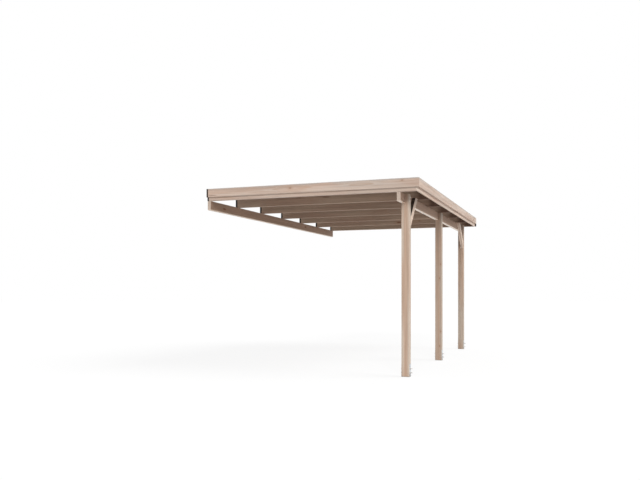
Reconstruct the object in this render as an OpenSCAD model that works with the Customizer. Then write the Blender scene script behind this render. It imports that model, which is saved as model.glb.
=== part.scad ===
// Lean-to carport: an open timber frame with a flat roof.
// One long side is carried by a beam on a wall, the other by three posts.
// Millimetres, +Z up. The origin is on the wall, at the middle of the wall beam's back face.
// +X runs out from the wall to the eave, +Y runs from the front of the roof to its rear.

/* [Roof] */
// Distance from the wall to the outer face of the eave fascia
roof_width = 2820; // [2200:10:3600]
// Distance from the outer face of the front fascia to that of the rear fascia
roof_depth = 4960; // [4200:10:6400]
// Thickness of the deck that lies on the rafters
deck_thick = 19; // [15:1:30]
// Thickness of the roofing felt on the deck
felt_thick = 4; // [2:0.5:8]

/* [Rafters] */
// Number of rafters, the front and rear ones included
rafter_count = 7; // [5:1:9]
// Thickness of a rafter
rafter_thick = 45; // [35:1:70]
// Height of a rafter
rafter_height = 120; // [100:1:200]

/* [Beams] */
// Thickness of the wall beam and the eave beam
beam_thick = 45; // [35:1:60]
// Height of the wall beam
wall_beam_height = 120; // [90:1:180]
// Height of the eave beam
eave_beam_height = 110; // [90:1:180]
// Clear height from the ground to the underside of the eave beam
headroom = 2120; // [1900:5:2600]
// How far the ends of the beams stand back from the outer faces of the end rafters
beam_inset = 8; // [0:1:60]

/* [Posts] */
// Side of the square posts
post = 95; // [80:1:140]
// Distance from the fascia's outer face to the near face of the end posts
post_inset = 265; // [150:5:600]
// Distance from the posts' outer faces to the outer face of the eave fascia
eave_overhang = 180; // [100:5:500]

/* [Braces] */
// Thickness of a brace, measured across the carport
brace_thick = 45; // [30:1:60]
// Width of a brace, measured square to its length
brace_width = 85; // [60:1:120]
// Slope of the braces in degrees
brace_angle = 45; // [35:1:60]
// Height from a brace's lowest corner on the post to the underside of the eave beam
brace_drop = 305; // [200:5:600]

/* [Fascia] */
// Thickness of the fascia boards
fascia_thick = 25; // [15:1:35]
// Height of the front and eave fascia boards
fascia_height = 110; // [80:1:130]
// Height of the fascia boards' top edge above the felt
fascia_lip = 12; // [0:1:40]
// Thickness of the board across the rafter ends, behind the eave fascia
eave_board_thick = 20; // [15:1:45]

/* [Post anchors] */
// Thickness of the anchor's two upright plates
anchor_plate = 5; // [3:0.5:10]
// Thickness of the anchor's bar under the post
anchor_bar = 6; // [4:0.5:12]
// Width of the anchor along the carport
anchor_width = 60; // [45:1:75]
// Height of the upright plates above the ground
anchor_height = 160; // [125:1:250]
// Size of the cut-off upper corners of the upright plates
anchor_corner = 8; // [2:1:20]
// Diameter of the bolt holes through the plates and the post
bolt_hole = 11; // [8:0.5:14]
// Height of the lower bolt hole above the ground
bolt_low = 50; // [30:1:60]
// Height of the upper bolt hole above the ground
bolt_high = 100; // [85:1:110]

/* [Edges] */
// Width of the small flat planed along the long edges of timbers and boards
ease = 3; // [1:0.5:6]

/* [Hidden] */
// Overrun of cutting solids past the faces they cut
cut = 1;
// Facets of round holes
$fn = 48;

wood_tan = [0.76, 0.67, 0.58];
wood_light = [0.80, 0.71, 0.63];
zinc_grey = [0.70, 0.71, 0.72];
felt_grey = [0.27, 0.28, 0.29];

// Levels
beam_top = wall_beam_height / 2;
eave_beam_low = beam_top - eave_beam_height;
ground = eave_beam_low - headroom;
rafter_top = beam_top + rafter_height;
deck_top = rafter_top + deck_thick;
fascia_top = deck_top + felt_thick + fascia_lip;
fascia_low = fascia_top - fascia_height;

// Places out from the wall
post_outer = roof_width - eave_overhang;
post_inner = post_outer - post;
beam_outer = post_inner + beam_thick;
frame_edge = roof_width - fascia_thick;
rafter_end = frame_edge - eave_board_thick;

// Places along the carport, which is the same both ways from its middle
roof_half = roof_depth / 2;
frame_half = roof_half - fascia_thick;
beam_half = frame_half - beam_inset;
post_reach = roof_half - post_inset - post / 2;
rafter_pitch = (2 * frame_half - rafter_thick) / (rafter_count - 1);

// Braces
brace_foot = eave_beam_low - brace_drop;
brace_rise = beam_top - brace_foot;
brace_run = brace_rise / tan(brace_angle) + brace_width;

// Cross-section of a planed timber with eased edges
module timber_section(wide, tall) {
    polygon([
        [ease, 0], [wide - ease, 0], [wide, ease], [wide, tall - ease],
        [wide - ease, tall], [ease, tall], [0, tall - ease], [0, ease]
    ]);
}

// Timber that runs along +X from the origin
module timber_x(length, wide, tall) {
    rotate([90, 0, 90])
        linear_extrude(length)
            timber_section(wide, tall);
}

// Timber that runs along +Y from the origin
module timber_y(length, wide, tall) {
    translate([0, length, 0])
        rotate([90, 0, 0])
            linear_extrude(length)
                timber_section(wide, tall);
}

// Beam along the carport under the rafters, with its wall-side face at x
module beam(x, height) {
    color(wood_tan)
        translate([x, -beam_half, beam_top - height])
            timber_y(2 * beam_half, beam_thick, height);
}

module wall_beam() {
    beam(0, wall_beam_height);
}

module eave_beam() {
    beam(post_inner, eave_beam_height);
}

// The two bolt holes of a post foot, through everything from one anchor plate to the other
module bolt_holes(y) {
    for (height = [bolt_low, bolt_high])
        translate([post_inner - anchor_plate - cut, y, ground + height])
            rotate([0, 90, 0])
                cylinder(d = bolt_hole, h = post + 2 * (anchor_plate + cut));
}

// Post at y, halved at its head so that the eave beam sits in it flush with its inner face
module post_at(y) {
    color(wood_tan)
        difference() {
            translate([post_inner, y - post / 2, ground + anchor_bar])
                linear_extrude(beam_top - ground - anchor_bar)
                    timber_section(post, post);
            translate([post_inner - cut, y - post / 2 - cut, eave_beam_low])
                cube([beam_thick + cut, post + 2 * cut, eave_beam_height + cut]);
            bolt_holes(y);
        }
}

module front_post() {
    post_at(-post_reach);
}

module middle_post() {
    post_at(0);
}

module rear_post() {
    post_at(post_reach);
}

// Outline of a post anchor seen from the eave, with its upper corners cut off
module anchor_outline() {
    half = anchor_width / 2;
    shoulder = anchor_height - anchor_corner;
    polygon([
        [-half, 0], [half, 0], [half, shoulder], [half - anchor_corner, anchor_height],
        [anchor_corner - half, anchor_height], [-half, shoulder]
    ]);
}

// U-shaped steel anchor at y: a bar on the ground with an upright plate on each side of the post
module anchor_at(y) {
    color(zinc_grey)
        difference() {
            translate([post_inner - anchor_plate, y, ground])
                rotate([90, 0, 90])
                    linear_extrude(post + 2 * anchor_plate)
                        anchor_outline();
            translate([post_inner, y - anchor_width / 2 - cut, ground + anchor_bar])
                cube([post, anchor_width + 2 * cut, anchor_height]);
            bolt_holes(y);
        }
}

module front_anchor() {
    anchor_at(-post_reach);
}

module middle_anchor() {
    anchor_at(0);
}

module rear_anchor() {
    anchor_at(post_reach);
}

// Brace from the back of the front post up to the rafters, lapped on the eave beam's outer face.
// Its foot is cut plumb against the post and its head level under the rafters.
module front_brace() {
    color(wood_tan)
        translate([beam_outer, post / 2 - post_reach, brace_foot])
            intersection() {
                cube([brace_thick, brace_run, brace_rise]);
                rotate([brace_angle, 0, 0])
                    translate([0, -2 * brace_width, 0])
                        timber_y(brace_run + brace_rise + 2 * brace_width, brace_thick, brace_width);
            }
}

module rear_brace() {
    mirror([0, 1, 0]) front_brace();
}

// Rafter number i, counted from the front
module rafter(i) {
    color(wood_tan)
        translate([0, -frame_half + (i - 1) * rafter_pitch, beam_top])
            timber_x(rafter_end, rafter_thick, rafter_height);
}

// Board that closes the rafter ends along the eave
module eave_board() {
    color(wood_light)
        translate([rafter_end, -frame_half, beam_top])
            timber_y(2 * frame_half, eave_board_thick, rafter_height);
}

// Wedge on one side of the rear mitre, which runs from the frame's corner to the roof's corner.
// The far point is the third corner of the wedge, away from the mitre.
module mitre_wedge(far) {
    translate([0, 0, fascia_low])
        linear_extrude(fascia_height + cut)
            polygon([[frame_edge - cut, frame_half - cut], [roof_width + cut, roof_half + cut], far]);
}

// Wedge that is cut off the end of a board along the front or the rear
module end_wedge() {
    mitre_wedge([roof_width + cut, frame_half - cut]);
}

// Wedge that is cut off the end of the board along the eave
module eave_wedge() {
    mitre_wedge([frame_edge - cut, roof_half + cut]);
}

// Front fascia, square at the wall and mitred at the eave
module front_fascia() {
    color(wood_light)
        difference() {
            translate([0, -roof_half, fascia_low])
                timber_x(roof_width, fascia_thick, fascia_height);
            mirror([0, 1, 0]) end_wedge();
        }
}

// Eave fascia, mitred at both ends
module eave_fascia() {
    color(wood_light)
        difference() {
            translate([frame_edge, -roof_half, fascia_low])
                timber_y(roof_depth, fascia_thick, fascia_height);
            eave_wedge();
            mirror([0, 1, 0]) eave_wedge();
        }
}

// Rear fascia, which reaches down to the underside of the rafters and passes under the eave fascia
module rear_fascia() {
    color(wood_light)
        difference() {
            translate([0, frame_half, beam_top])
                timber_x(roof_width, fascia_thick, fascia_top - beam_top);
            end_wedge();
        }
}

// Sheet that covers the whole frame inside the fascia, with its underside at z
module roof_sheet(z, thick) {
    translate([0, -frame_half, z])
        cube([frame_edge, 2 * frame_half, thick]);
}

module roof_deck() {
    color(wood_light) roof_sheet(rafter_top, deck_thick);
}

module roof_felt() {
    color(felt_grey) roof_sheet(deck_top, felt_thick);
}

wall_beam();
eave_beam();
front_post();
middle_post();
rear_post();
front_anchor();
middle_anchor();
rear_anchor();
front_brace();
rear_brace();
for (i = [1:rafter_count])
    rafter(i);
eave_board();
front_fascia();
eave_fascia();
rear_fascia();
roof_deck();
roof_felt();
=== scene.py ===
"""Finish of a lean-to carport: wood, roof boards, felt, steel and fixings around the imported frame.

Laid out as an add-on and run as a script. Lengths are in metres, in the frame of the CAD part:
+X runs out from the wall, +Y from the front to the rear, +Z up.
"""
import math

import bmesh
import bpy
import numpy as np
from bpy.props import FloatProperty, FloatVectorProperty, IntProperty, PointerProperty
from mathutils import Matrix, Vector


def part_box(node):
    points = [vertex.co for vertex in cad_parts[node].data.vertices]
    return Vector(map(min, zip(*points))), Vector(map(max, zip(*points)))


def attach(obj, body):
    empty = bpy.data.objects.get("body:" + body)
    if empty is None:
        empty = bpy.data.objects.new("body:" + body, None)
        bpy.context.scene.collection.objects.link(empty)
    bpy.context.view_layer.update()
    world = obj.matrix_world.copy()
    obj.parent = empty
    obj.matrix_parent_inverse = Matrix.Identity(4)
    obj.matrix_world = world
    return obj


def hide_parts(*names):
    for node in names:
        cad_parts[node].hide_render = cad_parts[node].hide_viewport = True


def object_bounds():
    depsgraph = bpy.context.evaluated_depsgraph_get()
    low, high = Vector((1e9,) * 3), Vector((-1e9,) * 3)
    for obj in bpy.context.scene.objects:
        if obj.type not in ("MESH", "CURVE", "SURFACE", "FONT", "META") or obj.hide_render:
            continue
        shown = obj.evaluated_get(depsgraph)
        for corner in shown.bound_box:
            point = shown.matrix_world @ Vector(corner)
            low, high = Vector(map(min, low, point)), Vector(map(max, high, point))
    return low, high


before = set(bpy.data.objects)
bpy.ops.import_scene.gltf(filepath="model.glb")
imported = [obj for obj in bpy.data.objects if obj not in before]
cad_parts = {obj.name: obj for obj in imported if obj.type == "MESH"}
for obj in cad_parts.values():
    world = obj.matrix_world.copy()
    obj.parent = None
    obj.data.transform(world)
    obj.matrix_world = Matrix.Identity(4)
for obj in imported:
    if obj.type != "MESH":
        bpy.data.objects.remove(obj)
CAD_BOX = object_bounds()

bl_info = {
    "name": "Lean-to carport finish",
    "version": (1, 0, 0),
    "blender": (4, 5, 0),
    "location": "3D View > Sidebar > Carport",
    "description": "Dresses the frame of a lean-to carport in wood, felt and steel",
    "category": "Object",
}

BODY = "root"
GROUND = CAD_BOX[0].z

POSTS = ("front_post", "middle_post", "rear_post")
ANCHORS = ("front_anchor", "middle_anchor", "rear_anchor")
RAFTERS = sorted(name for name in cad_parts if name.startswith("rafter_"))

# Axis that each fascia board runs along
FASCIAS = {"front_fascia": "X", "eave_fascia": "Y", "rear_fascia": "X"}

# Way along Y in which each brace climbs from its post, and the width of a brace across its slope
BRACES = {"front_brace": 1, "rear_brace": -1}
BRACE_WIDTH = 0.085

# Order in which a point's coordinates are read so that the grain runs along the third one
GRAIN_ORDER = {"X": (1, 2, 0), "Y": (2, 0, 1), "Z": (0, 1, 2)}

# The photograph's size, its focal length and the row of its horizon, in pixels
IMAGE_WIDTH = 640
IMAGE_HEIGHT = 480
FOCAL_PIXELS = 699.5
HORIZON_ROW = 290.53


def tint(red, green, blue):
    """Scene-linear colour of a screen colour given in steps of 0 to 255."""
    screen = np.array((red, green, blue)) / 255
    return tuple(np.where(screen <= 0.04045, screen / 12.92, ((screen + 0.055) / 1.055) ** 2.4))


def toned(colour, shade):
    """Colour made lighter or darker by a factor."""
    return tuple(np.clip(np.array(colour) * shade, 0, 1))


def corners(node):
    """Lowest and highest corner of a CAD node, as arrays."""
    low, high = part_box(node)
    return np.array(low), np.array(high)


# Settings

def length_setting(name, description, default, low, high):
    """Length that a user can change, in metres."""
    return FloatProperty(name=name, description=description, default=default, min=low, max=high,
                         subtype="DISTANCE", unit="LENGTH")


def angle_setting(name, description, degrees):
    """Angle that a user can change, with its default in degrees."""
    return FloatProperty(name=name, description=description, default=math.radians(degrees),
                         subtype="ANGLE", unit="ROTATION")


def strength_setting(name, description, default, high):
    """Strength of a light that a user can change."""
    return FloatProperty(name=name, description=description, default=default, min=0, max=high)


def colour_setting(name, description, default):
    """Scene-linear colour that a user can change."""
    return FloatVectorProperty(name=name, description=description, default=default, size=3,
                               min=0, max=1, subtype="COLOR")


class CarportSizes(bpy.types.PropertyGroup):
    """Sizes of the boards, the felt and the fixings."""

    board_cover: length_setting(
        "Board cover", "Width that one roof board covers", 0.1165, 0.06, 0.25)
    board_groove: length_setting(
        "Board groove", "Depth of the V-shaped joint under the roof boards", 0.005, 0.001, 0.009)
    felt_roll: length_setting(
        "Felt roll", "Width of a strip of roofing felt", 1.0, 0.5, 1.5)
    felt_thick: length_setting(
        "Felt thickness", "Thickness of a strip of roofing felt", 0.0035, 0.002, 0.005)
    felt_lift: length_setting(
        "Felt waves", "Height of the slight waves in the felt", 0.0016, 0.0, 0.004)
    nail_pitch: length_setting(
        "Nail spacing", "Distance between the nails along the laps of the felt", 0.1, 0.04, 0.3)
    bolt_across: length_setting(
        "Bolt diameter", "Diameter of the bolts through the post anchors", 0.010, 0.006, 0.011)
    bolt_reach: length_setting(
        "Bolt reach", "How far a bolt's threaded end stands out from the anchor plate",
        0.026, 0.012, 0.04)
    screw_head: length_setting(
        "Screw head", "Diameter of the screw heads in the fascia boards", 0.008, 0.005, 0.014)
    screw_pitch: length_setting(
        "Screw spacing", "Distance between screws along the front and rear fascia", 0.45, 0.2, 1.0)
    screw_margin: length_setting(
        "Screw margin", "Distance from the screws to the board's edges", 0.028, 0.015, 0.05)
    # Widths of the dark bands at the ends of the fascia boards and at the wall ends of the rafters
    board_dark_band: length_setting(
        "Sealed board end", "Width of the dark sealed band at the ends of the fascia boards",
        0.021, 0.0, 0.05)
    rafter_dark_band: length_setting(
        "Sealed rafter end", "Width of the dark sealed band at the wall ends of the rafters",
        0.028, 0.0, 0.05)
    ring_width: length_setting(
        "Growth ring", "Width of a growth ring in the wood", 0.0042, 0.001, 0.01)
    seed: IntProperty(
        name="Seed", description="Start of the random draws for board tones and felt waves",
        default=7, min=0, max=999)


class CarportColours(bpy.types.PropertyGroup):
    """Colours of the wood, the felt and the metal."""

    fascia_pale: colour_setting(
        "Fascia", "Main colour of the fascia boards", tint(204, 187, 174))
    fascia_ruddy: colour_setting(
        "Fascia, ruddy", "Colour of the ruddy stretches of the fascia boards", tint(198, 173, 157))
    post_pale: colour_setting(
        "Posts", "Main colour of the posts", tint(199, 185, 170))
    post_ruddy: colour_setting(
        "Posts, ruddy", "Colour of the ruddy stretches of the posts", tint(194, 167, 147))
    # Painted light: the beams' sapwood is only a thin layer under them, paler than the other wood,
    # as if lit from below
    lit_underside_pale: colour_setting(
        "Sapwood", "Main colour of the sapwood under the two beams", tint(250, 229, 210))
    lit_underside_ruddy: colour_setting(
        "Sapwood, ruddy", "Colour of the ruddy stretches of the beams' sapwood",
        tint(246, 222, 201))
    brace_pale: colour_setting(
        "Braces", "Main colour of the braces", tint(228, 211, 197))
    brace_ruddy: colour_setting(
        "Braces, ruddy", "Colour of the ruddy stretches of the braces", tint(220, 198, 181))
    # Partly painted shade: the rafters past the front one are darker than the other timbers, as if
    # they were in the roof's shade
    rafter_pale: colour_setting(
        "Rafters", "Main colour of the rafters", tint(181, 159, 140))
    rafter_ruddy: colour_setting(
        "Rafters, ruddy", "Colour of the ruddy stretches of the rafters", tint(173, 146, 128))
    # Partly painted shade: this darker heartwood covers the beams' sides and top beside the pale
    # underside, so that the sides look shaded
    heartwood: colour_setting(
        "Heartwood", "Colour of the heartwood in the two beams", tint(174, 144, 124))
    sawn_end: colour_setting(
        "Sawn ends", "Colour of the sawn ends of timbers", tint(205, 190, 176))
    # Painted shade: this colour darkens the roof boards and the rafters outside the eave beam as if
    # they were in the overhang's shade
    soffit_shade: colour_setting(
        "Soffit", "Colour that darkens the roof boards and the rafters outside the eave beam",
        tint(128, 104, 92))
    weathered: colour_setting(
        "Weathered wood", "Colour of the greyed upper edges of the fascia boards",
        tint(176, 169, 163))
    late_wood: colour_setting(
        "Late wood", "Colour of the dark side of a growth ring", tint(176, 142, 116))
    knot: colour_setting(
        "Knots", "Colour of the knots", tint(120, 72, 48))
    # Colour of the dark bands at the ends of boards and rafters, and of the painted shade on the
    # braces' upper faces
    dark_end_and_shade: colour_setting(
        "Sealed end", "Colour of the sealed wall ends", tint(30, 24, 20))
    felt: colour_setting(
        "Felt", "Colour of the felt's mineral granules", tint(92, 95, 98))
    bitumen: colour_setting(
        "Bitumen", "Colour of the bitumen along the edges of the felt", tint(26, 26, 27))
    zinc: colour_setting(
        "Zinc", "Colour of the galvanised anchors", tint(206, 209, 212))
    dull_zinc: colour_setting(
        "Dull zinc", "Colour of the galvanised anchors near the ground", tint(120, 112, 100))
    bolt: colour_setting(
        "Fixings", "Colour of bolts, screws and nails", tint(208, 203, 199))


class CarportStage(bpy.types.PropertyGroup):
    """Camera, light and floor."""

    camera_place: FloatVectorProperty(
        name="Camera", description="Place of the camera",
        default=(4.555, -10.571, -1.1154), size=3, subtype="XYZ", unit="LENGTH")
    camera_turn: angle_setting(
        "Camera turn", "How far the level camera looks to the left of +Y", 20.164)
    sky: strength_setting(
        "Sky", "Strength of the even light from all round", 0.55, 2)
    key: strength_setting(
        "Main light", "Strength of the soft light from the front", 1.3, 6)
    key_height: angle_setting(
        "Main light height", "Angle of the main light above the floor", 25)
    key_side: angle_setting(
        "Main light side", "Angle of the main light from the front towards the eave", 15)
    key_spread: angle_setting(
        "Main light softness", "Angle across which the main light spreads", 24)
    fill: strength_setting(
        "Side light", "Strength of the soft light from the eave", 1.7, 6)
    fill_height: angle_setting(
        "Side light height", "Angle of the side light above the floor", 42)
    fill_side: angle_setting(
        "Side light side", "Angle of the side light from the front towards the eave", 95)
    fill_spread: angle_setting(
        "Side light softness", "Angle across which the side light spreads", 40)
    floor: colour_setting(
        "Floor", "Colour of the floor in the light that it throws back", (0.66, 0.66, 0.66))
    floor_shown: colour_setting(
        "Floor shown", "Colour of the floor's shaded part as the camera sees it",
        (0.22, 0.22, 0.22))
    floor_glow: FloatProperty(
        name="Floor white",
        description="Plain white that the camera sees on the floor besides the light on it",
        default=0.78, min=0, max=1, subtype="FACTOR")
    floor_radius: length_setting(
        "Floor radius", "Radius of the round floor", 60.0, 10, 200)


# Surfaces

# Angle between two faces past which their edge stays sharp
SHARP_ANGLE = math.radians(40)


def ring_faces(rows, columns):
    """Quads between neighbouring rows of points, where the last column meets the first."""
    row, column = np.meshgrid(np.arange(rows - 1), np.arange(columns), indexing="ij")
    here = row * columns + column
    beside = row * columns + (column + 1) % columns
    return np.stack((here, beside, beside + columns, here + columns), -1).reshape(-1, 4)


def closed_rows(grids):
    """Points and faces of closed skins, each a row of like rings with its two ends capped.

    grids[k, r, c] is point c of ring r of skin k. Quads join ring r to ring r + 1, and the first
    and last ring of each skin are filled with one face.
    """
    count, rows, columns, _ = grids.shape
    shift = np.arange(count)[:, None, None] * rows * columns
    sides = ring_faces(rows, columns)[None] + shift
    first = np.arange(columns)
    caps = np.stack((first[::-1], first + (rows - 1) * columns))[None] + shift
    return grids.reshape(-1, 3), (sides.reshape(-1, 4), caps.reshape(-1, columns))


def turned(profile, sides, axis, places):
    """Rings of a turned shape, copied to each place.

    profile is a list of (along, radius, six). The surface is a function of the profile's row and
    of an angle a: place + along * axis + radius * h(a) * (cos a * side + sin a * up), where h(a)
    is 1 on a round row and cos 30 / cos(a mod 60 - 30) on a six-sided one, so that radius is to a
    corner.
    """
    along, radius, six = np.array(profile, float).T[:, :, None]
    angle = np.arange(sides)[None] * 2 * np.pi / sides
    flat = np.cos(np.pi / 6) / np.cos(angle % (np.pi / 3) - np.pi / 6)
    reach = radius * (1 + six * (flat - 1))
    axis = np.array(axis, float)
    up = np.array((0.0, 0.0, 1.0)) if abs(axis[2]) < 0.5 else np.array((0.0, 1.0, 0.0))
    side = np.cross(up, axis)
    shape = (along[..., None] * axis
             + (reach * np.cos(angle))[..., None] * side
             + (reach * np.sin(angle))[..., None] * up)
    return np.asarray(places, float)[:, None, None] + shape[None]


def new_piece(name, points, face_sets, material, slot):
    """Object of the given points and faces that rides on the frame, with normals outwards."""
    mesh = bpy.data.meshes.new(name)
    loops = np.concatenate([faces.ravel() for faces in face_sets])
    counts = np.concatenate([np.full(len(faces), faces.shape[1]) for faces in face_sets])
    mesh.vertices.add(len(points))
    mesh.loops.add(len(loops))
    mesh.polygons.add(len(counts))
    mesh.vertices.foreach_set("co", points.astype(np.float32).ravel())
    mesh.loops.foreach_set("vertex_index", loops.astype(np.int32))
    mesh.polygons.foreach_set("loop_start", (np.cumsum(counts) - counts).astype(np.int32))
    mesh.update(calc_edges=True)
    mesh.validate()
    work = bmesh.new()
    work.from_mesh(mesh)
    bmesh.ops.recalc_face_normals(work, faces=work.faces)
    work.to_mesh(mesh)
    work.free()
    mesh.polygons.foreach_set("use_smooth", np.ones(len(mesh.polygons), bool))
    mesh.set_sharp_from_angle(angle=SHARP_ANGLE)
    mesh.materials.append(material)
    piece = bpy.data.objects.new(name, mesh)
    bpy.context.scene.collection.objects.link(piece)
    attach(piece, BODY)
    return piece


def new_fixings(name, grids):
    """Bolts, screws or nails of plated steel, as one piece."""
    new_piece(name, *closed_rows(grids), fixing_material(), "galvanised_steel")


def mark_points(mesh, name, kind, field, values):
    """Attribute of a mesh with one value for each point."""
    layer = mesh.attributes.new(name, kind, "POINT")
    layer.data.foreach_set(field, values.astype(np.float32).ravel())


# Shader trees

# Space between neighbouring nodes in the editor
COLUMN = 190

# Kinds of the groups' sockets. One that is not named here holds a plain value
SOCKET_KINDS = {
    **dict.fromkeys(("Place", "Heart", "Centre", "Half", "Facing", "Grain"), "NodeSocketVector"),
    **dict.fromkeys(("Pale", "Ruddy", "Heartwood", "Late", "Colour"), "NodeSocketColor"),
}


class Tree:
    """Short calls that add nodes to a shader tree and join them."""

    def __init__(self, tree):
        self.tree = tree

    def node(self, kind, given=None, **settings):
        """New node with its settings made and its inputs fed."""
        made = self.tree.nodes.new(kind)
        made.location = (COLUMN * len(self.tree.nodes), 0)
        for name, value in settings.items():
            setattr(made, name, value)
        for name, value in (given or {}).items():
            self.feed(made.inputs[name], value)
        return made

    def feed(self, socket, value):
        """Joins a socket to another one, or sets its value. A colour of three numbers is opaque."""
        if isinstance(value, bpy.types.NodeSocket):
            self.tree.links.new(value, socket)
        elif socket.type == "RGBA":
            socket.default_value = (*value[:3], 1.0)
        else:
            socket.default_value = value

    def math(self, operation, first, second=0.0):
        return self.node("ShaderNodeMath", {0: first, 1: second}, operation=operation).outputs[0]

    def plus(self, first, second):
        return self.math("ADD", first, second)

    def minus(self, first, second):
        return self.math("SUBTRACT", first, second)

    def times(self, first, second):
        return self.math("MULTIPLY", first, second)

    def over(self, first, second):
        return self.math("DIVIDE", first, second)

    def vector(self, operation, first, second=(0, 0, 0)):
        made = self.node("ShaderNodeVectorMath", {0: first, 1: second}, operation=operation)
        return made.outputs["Vector"]

    def length(self, vector):
        return self.node("ShaderNodeVectorMath", {0: vector}, operation="LENGTH").outputs["Value"]

    def parts(self, vector):
        """The outputs X, Y and Z of a vector."""
        return self.node("ShaderNodeSeparateXYZ", {"Vector": vector}).outputs

    def shade(self, colour, factor):
        """Colour or vector times a value."""
        given = {0: colour, "Scale": factor}
        return self.node("ShaderNodeVectorMath", given, operation="SCALE").outputs[0]

    def step(self, value, start, end, low=0.0, high=1.0):
        """Value that goes smoothly from low to high while another goes from start to end."""
        given = {"Value": value, "From Min": start, "From Max": end, "To Min": low, "To Max": high}
        return self.node("ShaderNodeMapRange", given, interpolation_type="SMOOTHSTEP").outputs[0]

    def mix(self, share, first, second, blend="MIX"):
        made = self.node("ShaderNodeMix", data_type="RGBA", blend_type=blend)
        sockets = (made.inputs[0], made.inputs[6], made.inputs[7])
        for socket, value in zip(sockets, (share, first, second)):
            self.feed(socket, value)
        return made.outputs[2]

    def cover(self, colour, other, mask, share):
        """Colour with a share of another one over it where a mask is one."""
        return self.mix(self.times(mask, share), colour, other)

    def object_place(self):
        return self.node("ShaderNodeTexCoord").outputs["Object"]

    def drawn(self, place, stride, seed):
        """Place moved by as many strides as the seed says, so that patterns differ."""
        return self.vector("ADD", place, self.shade(stride, seed))

    def across(self, place, heart):
        """Way from the heart to a place, across the grain."""
        return self.vector("MULTIPLY", self.vector("SUBTRACT", place, heart), (1, 1, 0))

    def noise(self, place, stretch, detail=2.0):
        """Noise whose spots measure about one over stretch metres each way."""
        given = {"Vector": self.vector("MULTIPLY", place, stretch), "Scale": 1.0, "Detail": detail}
        return self.node("ShaderNodeTexNoise", given).outputs[0]

    def off_middle(self, place, stretch):
        """How far a noise lies from its middle value, so that it is zero along thin lines."""
        return self.math("ABSOLUTE", self.minus(self.noise(place, stretch, 1.0), 0.5))

    def cells(self, place, scale):
        """Outputs of a pattern with as many cells to a metre as the scale says."""
        return self.node("ShaderNodeTexVoronoi", {"Vector": place, "Scale": scale}).outputs

    def group(self, name, given):
        """Outputs of a shared group with its inputs fed."""
        return self.node("ShaderNodeGroup", given, node_tree=bpy.data.node_groups[name]).outputs


def softwood_figure(tree, given):
    """Growth rings round a wandering heart, with fibres, streaks and ruddy stretches along Z.

    Within the core's radius from the heart the wood has the colour of heartwood.
    """
    drawn = tree.drawn(given["Place"], (17.3, 9.1, 23.7), given["Seed"])
    wander = tree.times(tree.minus(tree.noise(drawn, (5, 5, 0.6)), 0.5), 0.05)
    radius = tree.length(tree.across(given["Place"], given["Heart"]))
    ring = tree.math("FRACT", tree.over(tree.plus(radius, wander), given["Ring"]))
    late = tree.times(tree.step(ring, 0.35, 0.9), tree.step(ring, 1.0, 0.94))
    fibre = tree.noise(drawn, (380, 380, 12))
    streak = tree.noise(drawn, (34, 34, 0.9), 4.0)
    patch = tree.step(tree.noise(drawn, (8, 8, 1.1)), 0.38, 0.66)
    colour = tree.mix(patch, given["Pale"], given["Ruddy"])
    bend = tree.plus(radius, tree.times(wander, 0.15))
    inner = tree.step(tree.minus(given["Core"], bend), -0.001, 0.003)
    colour = tree.mix(inner, colour, given["Heartwood"])
    colour = tree.cover(colour, given["Late"], late, 0.45)
    colour = tree.shade(colour, tree.step(streak, 0.3, 0.72, 0.87, 1.1))
    colour = tree.shade(colour, tree.step(fibre, 0.25, 0.75, 0.95, 1.04))
    relief = tree.plus(tree.times(late, 0.6), tree.times(fibre, 0.4))
    return {"Colour": colour, "Relief": relief}


def scattered_knots(tree, given):
    """Knots as lengthways ellipsoids in some of the cells of a stretched cell pattern."""
    stretched = tree.vector("MULTIPLY", given["Place"], (9, 9, 2.6))
    cells = tree.cells(tree.drawn(stretched, (3.1, 7.7, 5.3), given["Seed"]), 1.0)
    draw = tree.parts(cells["Color"])
    there = tree.math("LESS_THAN", draw["X"], given["Share"])
    depth = tree.over(cells["Distance"], tree.step(draw["Y"], 0.0, 1.0, 0.07, 0.15))
    core = tree.times(there, tree.step(depth, 1.0, 0.55))
    halo = tree.times(there, tree.step(depth, 2.4, 0.9))
    return {"Core": core, "Halo": halo}


def placed_knot(tree, given):
    """One knot round a given point, nearly twice as long as it is wide."""
    away = tree.vector("SUBTRACT", given["Place"], given["Centre"])
    depth = tree.over(tree.length(tree.vector("MULTIPLY", away, (1, 1, 0.55))), given["Radius"])
    return {"Core": tree.step(depth, 1.0, 0.55), "Halo": tree.step(depth, 2.6, 0.9)}


def drying_checks(tree, given):
    """Fine cracks along the grain: the middle line of one noise, where a second noise allows it."""
    drawn = tree.drawn(given["Place"], (11.9, 4.3, 8.1), given["Seed"])
    line = tree.step(tree.off_middle(drawn, (26, 26, 0.7)), 0.016, 0.004)
    allowed = tree.step(tree.noise(drawn, (9, 9, 1.6), 1.0), 0.56, 0.66)
    return {"Crack": tree.times(line, allowed)}


def arris_wear(tree, given):
    """Rubbed edges: one near an edge of the section, broken up by noise, and zero elsewhere."""
    inside = tree.vector("SUBTRACT", given["Half"], tree.vector("ABSOLUTE", given["Place"]))
    parts = tree.parts(inside)
    away = tree.math("MAXIMUM", parts["X"], parts["Y"])
    reach = tree.step(tree.noise(given["Place"], (60, 60, 9), 3.0), 0.25, 0.75, 0.003, 0.012)
    return {"Worn": tree.step(tree.over(away, reach), 1.0, 0.3)}


def rising_damp(tree, given):
    """Darkening that fades upwards from the ground, with a ragged upper edge."""
    height = tree.minus(tree.parts(given["Place"])["Z"], given["Ground"])
    ragged = tree.times(tree.noise(given["Place"], (30, 30, 6), 3.0), given["Reach"])
    return {"Damp": tree.step(tree.minus(height, ragged), given["Reach"], 0.0)}


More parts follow.
